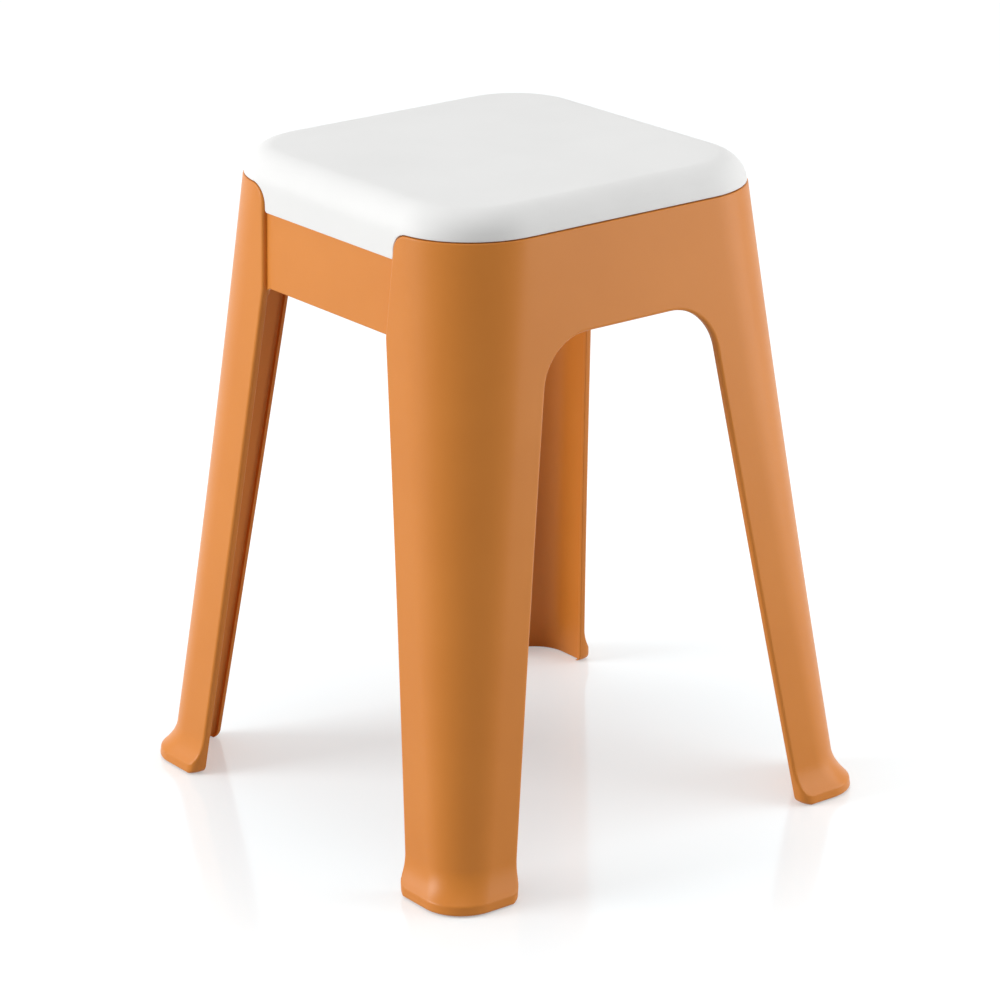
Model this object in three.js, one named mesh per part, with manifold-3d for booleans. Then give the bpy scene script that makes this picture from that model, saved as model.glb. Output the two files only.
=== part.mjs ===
// Stacking stool: a one-piece moulded base with four splayed legs, and a separate seat cover.
// Millimetres, +Z up, origin on the floor under the middle of the seat.
// The front and back (Y) aprons are flush with the legs, the side (X) aprons are recessed between them.
import * as THREE from 'three'
import { mergeVertices } from 'three/addons/utils/BufferGeometryUtils.js'
import Module from 'manifold-3d'

const wasm = await Module()
wasm.setup()

// Overall heights
const rimHeight = 430
const seatRise = 18.3
const seatHeight = rimHeight + seatRise
const jointGap = 0.5
const fitGap = 0.3

// Plan of the base skin at its rim and, carried on straight, at the floor
const rimHalfX = 135.4
const rimHalfY = 139.2
const rimCornerRadius = 60
const floorHalfX = 171.6
const floorHalfY = 177.8
const floorCornerRadius = 29
const legBow = 1.1
const rimFillet = 1.2

// Walls
const baseWall = 2.8
const edgeReturnDepth = 5.2
const edgeReturnWidth = 3
const deckThickness = 2.8

// Flared foot
const flareTop = 27.5
const flareAngle = 35 * Math.PI / 180
const lipReach = 6.6
const lipFillet = 3
const lipCornerRadius = 29
const lipEndRadius = 6
const soleFillet = 2
const soleWidth = 8.8
const innerFlareHeight = 22

// Front and back arches
const archLegWidth = 49.6
const archFloorHalf = floorHalfX - archLegWidth
const archTopHalf = 66.14825
const frontApronDepth = 68.5
const archTop = rimHeight - frontApronDepth
const archSlope = (archFloorHalf - archTopHalf) / archTop
const archCornerRadius = 37

// Side openings and the recessed side aprons above them
const sideLegWidth = 54.5
const sideFloorHalf = floorHalfY - sideLegWidth
const sideTopHalf = 69.76575
const sideApronDepth = 69.5
const sideApronBottom = rimHeight - sideApronDepth
const sideSlope = (sideFloorHalf - sideTopHalf) / sideApronBottom
const sideCornerRadius = 5
const apronRecess = 3.4
const wingSpread = 3.73425
const wingTopHalf = sideTopHalf + wingSpread
const wingCornerRadius = 13
const skirtDrop = 18.7
const skirtBottom = rimHeight - skirtDrop

// Seat cover
const coverInset = 0.4
const coverWall = 2.5
const rollReach = 20.5
const rollHeight = 19.8
const rollPower = 1.95
const coverRibDepth = 5.4
const coverRibWidth = 1.4
const coverRibPitch = 42
const coverRibsPerSide = 2

// Ribs under the deck of the base
const deckRibDepth = 14
const deckRibWidth = 2
const deckRibPitch = 42
const deckRibsPerSide = 2

// Screws that hold the cover down from below, and their bosses
const screwX = 63
const screwY = 63
const shankRadius = 1.7
const shankLength = 9.6
const tipLength = 1.8
const headRadius = 3.8
const headHeight = 2.4
const headCrown = 0.9
const bossRadius = 5.4
const bossDrop = 1.2

// Anti-slip pads let into the soles
const padWidth = 3.2
const padProud = 0.7
const padGrooveDepth = 2.6
const padEndMargin = 6
const padEndRadius = 1.2

// Counts of facets
const cornerSteps = 8
const arcSteps = 6
const bowSteps = 5
const roundSteps = 16
const overrun = 8

// Plain helpers for solids
function toSolid(geometry) {
  const bare = geometry.clone()
  bare.deleteAttribute('normal')
  bare.deleteAttribute('uv')
  const merged = mergeVertices(bare)
  return new wasm.Manifold(new wasm.Mesh({
    numProp: 3,
    vertProperties: new Float32Array(merged.attributes.position.array),
    triVerts: new Uint32Array(merged.index.array)
  }))
}

function toGeometry(solid) {
  const mesh = solid.getMesh()
  const geometry = new THREE.BufferGeometry()
  geometry.setAttribute('position', new THREE.BufferAttribute(mesh.vertProperties, 3))
  geometry.setIndex(new THREE.BufferAttribute(mesh.triVerts, 1))
  geometry.computeVertexNormals()
  return geometry
}

function addAll(solids) {
  return solids.reduce((sum, solid) => sum.add(solid))
}

// A closed loft through rings of equal point counts, listed from the lowest to the highest
function loft(rings) {
  const count = rings[0].length
  const positions = []
  for (const ring of rings) for (const point of ring) positions.push(point.x, point.y, point.z)
  const bottom = rings.length * count
  positions.push(0, 0, rings[0][0].z)
  positions.push(0, 0, rings[rings.length - 1][0].z)
  const top = bottom + 1
  const index = []
  for (let level = 0; level + 1 < rings.length; level++) {
    for (let i = 0; i < count; i++) {
      const a = level * count + i
      const b = level * count + (i + 1) % count
      index.push(a, b, b + count, a, b + count, a + count)
    }
  }
  const last = (rings.length - 1) * count
  for (let i = 0; i < count; i++) {
    const next = (i + 1) % count
    index.push(bottom, next, i)
    index.push(top, last + i, last + next)
  }
  const geometry = new THREE.BufferGeometry()
  geometry.setAttribute('position', new THREE.Float32BufferAttribute(positions, 3))
  geometry.setIndex(index)
  return toSolid(geometry)
}

// One level ring: a rectangle with round corners
function planRing(plan, z) {
  const points = []
  const centres = [[1, 1], [-1, 1], [-1, -1], [1, -1]]
  centres.forEach(([signX, signY], quarter) => {
    for (let step = 0; step <= cornerSteps; step++) {
      const angle = (quarter + step / cornerSteps) * Math.PI / 2
      points.push(new THREE.Vector3(
        signX * (plan.halfX - plan.radius) + plan.radius * Math.cos(angle),
        signY * (plan.halfY - plan.radius) + plan.radius * Math.sin(angle),
        z))
    }
  })
  return points
}

// The skin's plan at a height: a straight taper with a slight inward bow
function skinPlan(z) {
  const share = z / rimHeight
  const bow = 4 * legBow * share * (1 - share)
  return {
    halfX: THREE.MathUtils.lerp(floorHalfX, rimHalfX, share) - bow,
    halfY: THREE.MathUtils.lerp(floorHalfY, rimHalfY, share) - bow,
    radius: THREE.MathUtils.lerp(floorCornerRadius, rimCornerRadius, share)
  }
}

function grow(plan, offset) {
  return { halfX: plan.halfX + offset, halfY: plan.halfY + offset, radius: plan.radius + offset }
}

function skinRing(z, offset) {
  return planRing(grow(skinPlan(z), offset), z)
}

// The lip's corners turn on a radius of their own, so the flare widens them less than its reach
function footPlan(z, reach) {
  const plan = grow(skinPlan(z), reach)
  plan.radius = THREE.MathUtils.lerp(skinPlan(z).radius, lipCornerRadius, reach / lipReach)
  return plan
}

function levels(from, to, steps) {
  return Array.from({ length: steps + 1 }, (_, i) => THREE.MathUtils.lerp(from, to, i / steps))
}

// The foot's outer profile, from the sole up: sole fillet, lip band, lip fillet, concave flare
function footProfile() {
  const flareRadius = lipReach / (1 - Math.cos(flareAngle)) - lipFillet
  const lipTop = flareTop - (flareRadius + lipFillet) * Math.sin(flareAngle)
  const points = []
  for (const angle of levels(-Math.PI / 2, 0, 3)) {
    points.push([lipReach - soleFillet + soleFillet * Math.cos(angle), padProud + soleFillet * (1 + Math.sin(angle))])
  }
  for (const angle of levels(0, flareAngle, 2)) {
    points.push([lipReach - lipFillet * (1 - Math.cos(angle)), lipTop + lipFillet * Math.sin(angle)])
  }
  for (const angle of levels(flareAngle, 0, 5).slice(1)) {
    points.push([flareRadius * (1 - Math.cos(angle)), flareTop - flareRadius * Math.sin(angle)])
  }
  return points
}

// Prisms through the stool along X or Y, from an outline drawn as (across, up)
function prism(shape, halfLength, alongX) {
  const geometry = new THREE.ExtrudeGeometry(shape, { depth: 2 * halfLength, bevelEnabled: false, curveSegments: arcSteps })
  geometry.translate(0, 0, -halfLength)
  geometry.rotateX(Math.PI / 2)
  if (alongX) geometry.rotateZ(Math.PI / 2)
  return toSolid(geometry)
}

// A leg opening: sloping sides, a level top and round upper corners, grown outwards by a margin
function openingShape(floorHalf, slope, top, cornerRadius, margin) {
  const tilt = Math.atan(slope)
  const sideShift = margin / Math.cos(tilt)
  const crown = top + margin
  const halfAt = (z) => floorHalf + sideShift - slope * z
  const radius = cornerRadius + margin
  const centreZ = crown - radius
  const centreX = halfAt(centreZ) - radius / Math.cos(tilt)
  const shape = new THREE.Shape()
  shape.moveTo(-halfAt(-overrun), -overrun)
  shape.lineTo(halfAt(-overrun), -overrun)
  shape.lineTo(centreX + radius * Math.cos(tilt), centreZ + radius * Math.sin(tilt))
  shape.absarc(centreX, centreZ, radius, tilt, Math.PI / 2, false)
  shape.lineTo(-centreX, crown)
  shape.absarc(-centreX, centreZ, radius, Math.PI / 2, Math.PI - tilt, false)
  shape.closePath()
  return shape
}

// The face of a side apron between the wings of the legs, whose upper corners are round
function apronShape(margin, bottom, top) {
  const cornerZ = rimHeight - wingCornerRadius
  const edgeSlope = (wingTopHalf - sideTopHalf) / (cornerZ - sideApronBottom)
  const halfAt = (z) => sideTopHalf + margin + edgeSlope * (z - sideApronBottom)
  const arcRadius = wingCornerRadius - margin
  const shape = new THREE.Shape()
  shape.moveTo(-halfAt(bottom), bottom)
  shape.lineTo(halfAt(bottom), bottom)
  shape.lineTo(wingTopHalf + margin, cornerZ)
  shape.absarc(wingTopHalf + wingCornerRadius, cornerZ, arcRadius, Math.PI, Math.PI / 2, true)
  shape.lineTo(wingTopHalf + wingCornerRadius, top)
  shape.lineTo(-wingTopHalf - wingCornerRadius, top)
  shape.lineTo(-wingTopHalf - wingCornerRadius, cornerZ + arcRadius)
  shape.absarc(-wingTopHalf - wingCornerRadius, cornerZ, arcRadius, Math.PI / 2, 0, true)
  shape.closePath()
  return shape
}

// How far the cover's roll has drawn in at a height, for a surface that lies a wall inside it
function rollInset(z, inside) {
  const start = seatHeight - rollHeight
  const rise = Math.min(Math.max((z - start) / (rollHeight - inside), 0), 1)
  return (rollReach - inside) * (1 - Math.pow(1 - Math.pow(rise, rollPower), 1 / rollPower))
}

const coverPlan = grow(skinPlan(rimHeight), -coverInset)
const fullSpan = Math.max(floorHalfX, floorHalfY) + lipReach + overrun

// Straight ribs along one axis, symmetric about the middle
function ribSet(width, low, high, pitch, perSide, alongX) {
  const ribs = []
  for (let i = -perSide; i <= perSide; i++) {
    const across = i * pitch
    const shape = new THREE.Shape()
    shape.moveTo(across - width / 2, low)
    shape.lineTo(across + width / 2, low)
    shape.lineTo(across + width / 2, high)
    shape.lineTo(across - width / 2, high)
    shape.closePath()
    ribs.push(prism(shape, rimHalfY, alongX))
  }
  return addAll(ribs)
}

// A round post or hole at one screw place
function post(radius, low, high, signX, signY) {
  const geometry = new THREE.CylinderGeometry(radius, radius, high - low, roundSteps)
  geometry.rotateX(Math.PI / 2)
  geometry.translate(signX * screwX, signY * screwY, (low + high) / 2)
  return toSolid(geometry)
}

const quarters = [
  { name: 'front_left', signX: -1, signY: -1 },
  { name: 'front_right', signX: 1, signY: -1 },
  { name: 'back_right', signX: 1, signY: 1 },
  { name: 'back_left', signX: -1, signY: 1 }
]

function posts(radius, low, high) {
  return addAll(quarters.map(({ signX, signY }) => post(radius, low, high, signX, signY)))
}

// Heights inside the seat
const coverUnderside = seatHeight - coverWall
const deckTop = coverUnderside - coverRibDepth - fitGap
const deckUnderside = deckTop - deckThickness
const bossUnderside = deckUnderside - bossDrop
const shelfUnderside = rimHeight - baseWall
const plinthInset = coverWall + fitGap

// The plinth of the base fills the cover's inside up to the deck
function plinthRing(z, offset) {
  return planRing(grow(coverPlan, -plinthInset - rollInset(z, coverWall) - offset), z)
}

function plinth(from, to, offset) {
  const start = seatHeight - rollHeight
  const rising = levels(start, deckTop, 4).filter((z) => z > from && z < to)
  return loft([from, ...rising, to].map((z) => plinthRing(z, offset)))
}

// The L-shaped run of a sole around one corner, between two offsets from the skin's plan
function soleStrip(middle, width, endRadius, margin) {
  const outer = footPlan(0, middle + width / 2)
  const inner = footPlan(0, middle - width / 2)
  const endX = archFloorHalf + margin
  const endY = sideFloorHalf + margin
  const shape = new THREE.Shape()
  shape.moveTo(outer.halfX, endY + endRadius)
  shape.lineTo(outer.halfX, outer.halfY - outer.radius)
  shape.absarc(outer.halfX - outer.radius, outer.halfY - outer.radius, outer.radius, 0, Math.PI / 2, false)
  shape.lineTo(endX + endRadius, outer.halfY)
  shape.absarc(endX + endRadius, outer.halfY - endRadius, endRadius, Math.PI / 2, Math.PI, false)
  shape.lineTo(endX, inner.halfY + endRadius)
  shape.absarc(endX + endRadius, inner.halfY + endRadius, endRadius, Math.PI, 3 * Math.PI / 2, false)
  shape.lineTo(inner.halfX - inner.radius, inner.halfY)
  shape.absarc(inner.halfX - inner.radius, inner.halfY - inner.radius, inner.radius, Math.PI / 2, 0, true)
  shape.lineTo(inner.halfX, endY + endRadius)
  shape.absarc(inner.halfX + endRadius, endY + endRadius, endRadius, Math.PI, 3 * Math.PI / 2, false)
  shape.absarc(outer.halfX - endRadius, endY + endRadius, endRadius, -Math.PI / 2, 0, false)
  shape.closePath()
  return shape
}

const soleMiddle = lipReach - soleFillet - padWidth / 2 - 2 * fitGap

// A mirrored copy of a geometry, with its faces turned so that they still point outwards
function mirrored(geometry, signX, signY) {
  const bare = geometry.clone()
  bare.deleteAttribute('normal')
  bare.deleteAttribute('uv')
  const merged = mergeVertices(bare)
  merged.scale(signX, signY, 1)
  if (signX * signY < 0) {
    const index = merged.index.array
    for (let i = 0; i < index.length; i += 3) {
      const first = index[i]
      index[i] = index[i + 1]
      index[i + 1] = first
    }
  }
  return merged
}

function padSolid(width, low, high, margin, { signX, signY }) {
  const shape = soleStrip(soleMiddle, width, padEndRadius, margin)
  const geometry = new THREE.ExtrudeGeometry(shape, { depth: high - low, bevelEnabled: false, curveSegments: arcSteps })
  geometry.translate(0, 0, low)
  return toSolid(mirrored(geometry, signX, signY))
}

// What rounds a lip's free end in plan: the spandrel outside a quarter circle, leaning with the leg's edge
function lipEndCutter(alongFront, { signX, signY }) {
  const floor = footPlan(0, lipReach)
  const edge = alongFront ? archFloorHalf : sideFloorHalf
  const slope = alongFront ? archSlope : sideSlope
  const out = alongFront ? floor.halfY : floor.halfX
  const radius = Math.min(lipEndRadius, lipReach - fitGap)
  const taper = (alongFront ? floorHalfY - rimHalfY : floorHalfX - rimHalfX) / rimHeight
  const outline = levels(Math.PI, Math.PI / 2, arcSteps).map((angle) =>
    [edge + radius + radius * Math.cos(angle), out - radius + radius * Math.sin(angle)])
  outline.push([edge + radius, out + overrun], [edge - overrun, out + overrun], [edge - overrun, out - radius])
  const points = outline.map(([across, away]) =>
    alongFront ? new THREE.Vector2(across, away) : new THREE.Vector2(away, across))
  const geometry = new THREE.ExtrudeGeometry(new THREE.Shape(points), { depth: flareTop + overrun, bevelEnabled: false })
  const leanX = alongFront ? slope : taper
  const leanY = alongFront ? taper : slope
  geometry.applyMatrix4(new THREE.Matrix4().makeShear(0, 0, 0, 0, -leanX, -leanY))
  return toSolid(mirrored(geometry, signX, signY))
}

// Base: skin, recessed side aprons, edge returns, plinth with its deck and ribs
function makeBase() {
  const profile = footProfile()
  const foot = profile.map(([reach, z]) => planRing(footPlan(z, reach), z))
  const legs = levels(flareTop, rimHeight - rimFillet, bowSteps).slice(1).map((z) => skinRing(z, 0))
  const rim = levels(0, Math.PI / 2, 2).slice(1).map((angle) =>
    skinRing(rimHeight - rimFillet * (1 - Math.sin(angle)), -rimFillet * (1 - Math.cos(angle))))
  const skin = loft([...foot, ...legs, ...rim])

  const recessLow = sideApronBottom - overrun
  const apronCutter = prism(apronShape(0, recessLow, rimHeight + overrun), fullSpan, true)
  const apronFace = loft(levels(recessLow - overrun, rimHeight + 2 * overrun, bowSteps).map((z) => skinRing(z, -apronRecess)))
  const skirtCutter = prism(apronShape(0, skirtBottom - fitGap, rimHeight + overrun), fullSpan, true)
  const plinthLow = skirtBottom - 2 * overrun
  const plinthBody = plinth(plinthLow, deckTop, 0)
  const recessed = skin
    .subtract(apronCutter.subtract(apronFace))
    .subtract(skirtCutter.subtract(loft([plinthRing(plinthLow, 0), plinthRing(rimHeight + 2 * overrun, 0)])))
  const lipEnds = addAll(quarters.flatMap((quarter) =>
    [true, false].map((alongFront) => lipEndCutter(alongFront, quarter))))
  const outside = recessed.subtract(lipEnds).add(plinthBody)

  const innerFoot = levels(0, Math.PI / 2, 3).map((angle) => [
    (lipReach - soleWidth + baseWall) * (1 - Math.sin(angle)) - baseWall,
    innerFlareHeight * (1 - Math.cos(angle))
  ])
  const cavityRings = [
    skinRing(-overrun, lipReach - soleWidth),
    ...innerFoot.map(([offset, z]) => skinRing(z, offset)),
    ...levels(innerFlareHeight, shelfUnderside, bowSteps).slice(1).map((z) => skinRing(z, -baseWall))
  ]
  const apronInset = apronRecess + baseWall
  const zoneMargin = edgeReturnWidth
  const apronZone = prism(apronShape(zoneMargin, sideApronBottom - overrun, shelfUnderside), fullSpan, true)
  const apronInside = loft(levels(recessLow - overrun, rimHeight + overrun, bowSteps).map((z) => skinRing(z, -apronInset)))
  const skirtZone = prism(apronShape(zoneMargin, skirtBottom - baseWall, shelfUnderside), fullSpan, true)
  const plinthInside = plinth(plinthLow, deckUnderside, baseWall)
  const plinthColumn = loft([plinthRing(plinthLow, baseWall), plinthRing(rimHeight, baseWall)])
  const cavity = loft(cavityRings)
    .subtract(apronZone.subtract(apronInside))
    .subtract(skirtZone.subtract(plinthColumn))
    .add(plinthInside)

  const archCut = prism(openingShape(archFloorHalf, archSlope, archTop, archCornerRadius, 0), fullSpan, false)
  const sideCut = prism(openingShape(sideFloorHalf, sideSlope, sideApronBottom, sideCornerRadius, 0), fullSpan, true)
  const archBand = prism(
    openingShape(archFloorHalf, archSlope, archTop, archCornerRadius, edgeReturnWidth), fullSpan, false)
  const sideBand = prism(
    openingShape(sideFloorHalf, sideSlope, sideApronBottom, sideCornerRadius, edgeReturnWidth), fullSpan, true)
  const returnInside = loft(levels(-overrun, shelfUnderside, bowSteps).map((z) => skinRing(z, -edgeReturnDepth)))
  const returns = outside.subtract(returnInside).intersect(archBand.add(sideBand))

  const ribLow = deckUnderside - deckRibDepth
  const ribs = addAll([true, false].map((alongX) =>
    ribSet(deckRibWidth, ribLow, deckTop - deckThickness / 2, deckRibPitch, deckRibsPerSide, alongX)))
  const bosses = posts(bossRadius, bossUnderside, deckTop - deckThickness / 2)
  const below = ribs.add(bosses).intersect(plinthInside.add(outside))

  const grooves = addAll(quarters.map((quarter) =>
    padSolid(padWidth + 2 * fitGap, -overrun, padProud + padGrooveDepth, padEndMargin - fitGap, quarter)))
  const holes = posts(shankRadius + fitGap, bossUnderside - overrun, deckTop + overrun)
  return outside
    .subtract(cavity)
    .add(returns)
    .subtract(archCut)
    .subtract(sideCut)
    .add(below)
    .subtract(grooves)
    .subtract(holes)
}

// Seat cover: a cap with a rolled edge, a lower skirt on the two sides, ribs and screw bosses
function makeCover() {
  const rollLow = seatHeight - rollHeight
  const rollSteps = levels(0, Math.PI / 2, arcSteps)
  const capRings = (inside, low) => {
    const rise = rollSteps.map((angle) => rollLow + (rollHeight - inside) * Math.sin(angle))
    return [low, ...rise].map((z) => planRing(grow(coverPlan, -inside - rollInset(z, inside)), z))
  }
  const cap = loft(capRings(0, skirtBottom))
  const hollow = loft(capRings(coverWall, skirtBottom - overrun))
  const edge = rimHeight + jointGap
  const skirt = prism(apronShape(-fitGap, skirtBottom - overrun, edge + overrun), fullSpan, true)
  const lower = loft([grow(coverPlan, overrun), grow(coverPlan, overrun)].map((plan, i) =>
    planRing(plan, i === 0 ? skirtBottom - overrun : edge)))
  const ribLow = coverUnderside - coverRibDepth
  const ribs = addAll([true, false].map((alongX) =>
    ribSet(coverRibWidth, ribLow, coverUnderside + coverWall / 2, coverRibPitch, coverRibsPerSide, alongX)))
  const bosses = posts(bossRadius, ribLow, coverUnderside + coverWall / 2)
  const below = ribs.add(bosses).intersect(cap)
  const screwTop = bossUnderside + shankLength
  const holes = posts(shankRadius + fitGap, ribLow - overrun, screwTop + fitGap)
  return cap
    .subtract(hollow)
    .subtract(lower.subtract(skirt))
    .add(below)
    .subtract(holes)
}

// Pan-head screw, point up, with its head under the boss
function screwGeometry() {
  const crown = headHeight - headCrown
  const profile = [
    [0, -headHeight],
    [headRadius * Math.sin(Math.PI / 4), -headHeight + headCrown * (1 - Math.cos(Math.PI / 4))],
    [headRadius, -crown],
    [headRadius, 0],
    [shankRadius, 0],
    [shankRadius, shankLength - tipLength],
    [0, shankLength]
  ]
  const geometry = new THREE.LatheGeometry(profile.map(([x, y]) => new THREE.Vector2(x, y)), roundSteps)
  geometry.rotateX(Math.PI / 2)
  return geometry
}

// Materials
const orangePlastic = { color: 0xd98a48, roughness: 0.42, metalness: 0 }
const whitePlastic = { color: 0xeeeeec, roughness: 0.38, metalness: 0 }
const padRubber = { color: 0x8a8a86, roughness: 0.8, metalness: 0 }
const zincSteel = { color: 0xb9bcc0, roughness: 0.35, metalness: 1 }

function addMesh(group, name, geometry, look) {
  const mesh = new THREE.Mesh(geometry, new THREE.MeshStandardMaterial(look))
  mesh.name = name
  group.add(mesh)
  return mesh
}

const stool = new THREE.Group()
addMesh(stool, 'base', toGeometry(makeBase()), orangePlastic)
addMesh(stool, 'seat_cover', toGeometry(makeCover()), whitePlastic)
for (const quarter of quarters) {
  const pad = padSolid(padWidth, 0, padProud + padGrooveDepth - fitGap, padEndMargin, quarter)
  addMesh(stool, `foot_pad_${quarter.name}`, toGeometry(pad), padRubber)
  const screw = addMesh(stool, `cover_screw_${quarter.name}`, toGeometry(toSolid(screwGeometry())), zincSteel)
  screw.position.set(quarter.signX * screwX, quarter.signY * screwY, bossUnderside - fitGap)
}

export default stool
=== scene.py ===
import math

import bmesh
import bpy
import numpy as np
from mathutils import Matrix, Vector
from mathutils.geometry import delaunay_2d_cdt


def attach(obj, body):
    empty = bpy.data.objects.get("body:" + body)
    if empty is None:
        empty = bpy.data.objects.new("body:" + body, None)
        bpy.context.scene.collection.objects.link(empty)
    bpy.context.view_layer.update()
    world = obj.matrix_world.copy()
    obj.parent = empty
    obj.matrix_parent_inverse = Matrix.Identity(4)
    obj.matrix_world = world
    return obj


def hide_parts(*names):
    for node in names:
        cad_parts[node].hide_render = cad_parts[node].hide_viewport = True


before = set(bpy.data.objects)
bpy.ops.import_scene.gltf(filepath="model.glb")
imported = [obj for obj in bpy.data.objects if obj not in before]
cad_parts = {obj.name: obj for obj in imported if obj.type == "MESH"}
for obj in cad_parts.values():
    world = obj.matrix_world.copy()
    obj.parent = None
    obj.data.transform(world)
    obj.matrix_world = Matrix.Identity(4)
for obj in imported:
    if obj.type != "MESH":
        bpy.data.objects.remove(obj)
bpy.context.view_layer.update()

mm = 0.001
halfPi = math.pi / 2
quarters = ((1, 1), (-1, 1), (-1, -1), (1, -1))  # signs of X and Y


# sRGB hex to the linear colour that Blender's sockets want
def hexColour(text):
    channels = [int(text[i:i + 2], 16) / 255 for i in (1, 3, 5)]
    return (*(c / 12.92 if c <= 0.04045 else ((c + 0.055) / 1.055) ** 2.4 for c in channels), 1.0)


def newObject(name, data):
    obj = bpy.data.objects.new(name, data)
    bpy.context.scene.collection.objects.link(obj)
    return obj


def newMaterial(name):
    material = bpy.data.materials.new(name)
    material.use_nodes = True
    material.node_tree.nodes.clear()
    return material, material.node_tree


# Adds a node. Each input gets a plain value, a socket, a node (its first output) or a list of nodes
def addNode(tree, kind, values=None, **settings):
    node = tree.nodes.new(kind)
    for key, value in settings.items():
        setattr(node, key, value)
    for key, value in (values or {}).items():
        for source in value if isinstance(value, list) else [value]:
            if isinstance(source, bpy.types.Node):
                source = source.outputs[0]
            if isinstance(source, bpy.types.NodeSocket):
                tree.links.new(source, node.inputs[key])
            else:
                node.inputs[key].default_value = source
    return node


# The moulded body's plan in millimetres: a rounded rectangle that tapers from the floor to the rim
body = {
    "seatHeight": 448.3,
    "rimHeight": 430.0,
    "rimTop": 429.4,  # the skin stops a little short of its rim, which opens the joint with the seat
    "soleHeight": 0.7,
    "rimHalfX": 135.4,
    "rimHalfY": 139.2,
    "rimCorner": 60.0,
    "floorHalfX": 171.6,
    "floorHalfY": 177.8,
    "floorCorner": 29.0,
    "legBow": 1.1,
    "spacing": 7.5,  # between the points of the mesh on open skin
    "margin": 2.2,  # how near they come to an edge
    "cornerSteps": 18,
}


def lerp(low, high, share):
    return low + (high - low) * share


def skinPlan(z):
    share = z / body["rimHeight"]
    bow = 4 * body["legBow"] * share * (1 - share)
    halfX = lerp(body["floorHalfX"], body["rimHalfX"], share) - bow
    halfY = lerp(body["floorHalfY"], body["rimHalfY"], share) - bow
    radius = lerp(body["floorCorner"], body["rimCorner"], share)
    return halfX, halfY, radius


# The leg edges: the arches at front and back, the wings at the two sides
arch = {"floorHalf": 122.0, "slope": 0.1545, "top": 361.5, "corner": 37.0, "topSteps": 4, "cornerSteps": 20}
wing = {
    "floorHalf": 123.3,
    "slope": 0.1485,
    "kink": 360.5,
    "soften": 0.06,
    "topHalf": 73.5,
    "corner": 13.0,
    "cornerSteps": 12,
    "upperRows": (328, 336, 344, 350, 354, 356, 357.5, 359, 360, 361, 362,  # close together at the kink
                  363.5, 365, 368, 374, 384, 394, 404, 411),
}
wing["kinkHalf"] = wing["floorHalf"] - wing["slope"] * wing["kink"]
wing["cornerZ"] = body["rimTop"] - wing["corner"]
wing["upSlope"] = (wing["topHalf"] - wing["kinkHalf"]) / (wing["cornerZ"] - wing["kink"])


def archEdge(z):
    return arch["floorHalf"] - arch["slope"] * z


# Two straight runs that meet at the apron's lower edge, with the kink a little softened
def wingEdge(z):
    low = wing["floorHalf"] - wing["slope"] * z
    high = wing["kinkHalf"] + wing["upSlope"] * (z - wing["kink"])
    return (low + high) / 2 + np.sqrt((high - low) ** 2 / 4 + wing["soften"] ** 2)


# The foot: a concave flare down to a low vertical lip
foot = {
    "flareTop": 27.5,
    "flareAngle": math.radians(35),
    "lipReach": 6.6,
    "lipFillet": 3.0,
    "lipCorner": 29.0,
    "lipEnd": 6.3,  # rounding of the lip's free ends
    "soleFillet": 2.0,
    "webCorner": 4.5,  # rounding of the leg's edge where it comes down to the sole
    "webFade": 8.0,
    "innerHeight": 22.0,
    "innerReach": 0.6,
}


def footProfile():
    reach, lipFillet, soleFillet = foot["lipReach"], foot["lipFillet"], foot["soleFillet"]
    flare = reach / (1 - math.cos(foot["flareAngle"])) - lipFillet
    lipTop = foot["flareTop"] - (flare + lipFillet) * math.sin(foot["flareAngle"])
    soleTop = body["soleHeight"] + soleFillet
    points = [(reach - soleFillet * (1 - math.cos(angle)), soleTop + soleFillet * math.sin(angle))
              for angle in np.linspace(-halfPi, 0, 7)]
    points += [(reach, lerp(points[-1][1], lipTop, share)) for share in (0.33, 0.66)]
    points += [(reach - lipFillet * (1 - math.cos(angle)), lipTop + lipFillet * math.sin(angle))
               for angle in np.linspace(0, foot["flareAngle"], 7)]
    points += [(flare * (1 - math.cos(angle)), foot["flareTop"] - flare * math.sin(angle))
               for angle in np.linspace(foot["flareAngle"], 0, 15)[1:]]
    return np.array(points)


footRows = footProfile()


def footReach(z):
    return np.interp(z, footRows[:, 1], footRows[:, 0])


# A point of the skin has a run s, from the middle of the front to the middle of the side, and a height z
def runOfY(y, z):
    halfX, halfY, radius = skinPlan(z)
    past = np.clip((y - (halfY - radius)) / radius, 0, 1)
    onFlat = np.maximum(halfY - radius - y, 0)
    return halfX - radius + radius * (halfPi - np.arcsin(past)) + onFlat


# Where such a point lies, moved out of the skin. The lip turns on its own radius, so its flats grow longer
def skinPoint(s, z, out, planZ=None):
    s, z, out = np.broadcast_arrays(s, z, out)
    halfX, halfY, radius = skinPlan(z if planZ is None else planZ + 0 * z)
    flatX, flatY = halfX - radius, halfY - radius
    lipShare = np.clip(out / foot["lipReach"], 0, 1)
    grown = np.where(out > 0, lerp(radius, foot["lipCorner"], lipShare), radius + out)
    centreX, centreY = halfX + out - grown, halfY + out - grown
    theta = np.clip((s - flatX) / radius, 0, halfPi)
    sideY = flatY - np.maximum(s - flatX - radius * halfPi, 0)
    edgeX, edgeY = archEdge(z), wingEdge(z)
    stretchX = (centreX - flatX) * np.clip((s - edgeX) / np.maximum(flatX - edgeX, 1), 0, 1)
    stretchY = (centreY - flatY) * np.clip((sideY - edgeY) / np.maximum(flatY - edgeY, 1), 0, 1)
    onFront, onSide = s <= flatX, s >= flatX + radius * halfPi
    x = np.where(onFront, s + stretchX, np.where(onSide, halfX + out, centreX + grown * np.sin(theta)))
    y = np.where(onFront, halfY + out, np.where(onSide, sideY + stretchY, centreY + grown * np.cos(theta)))
    return np.stack([x, y, z], -1)


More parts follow.
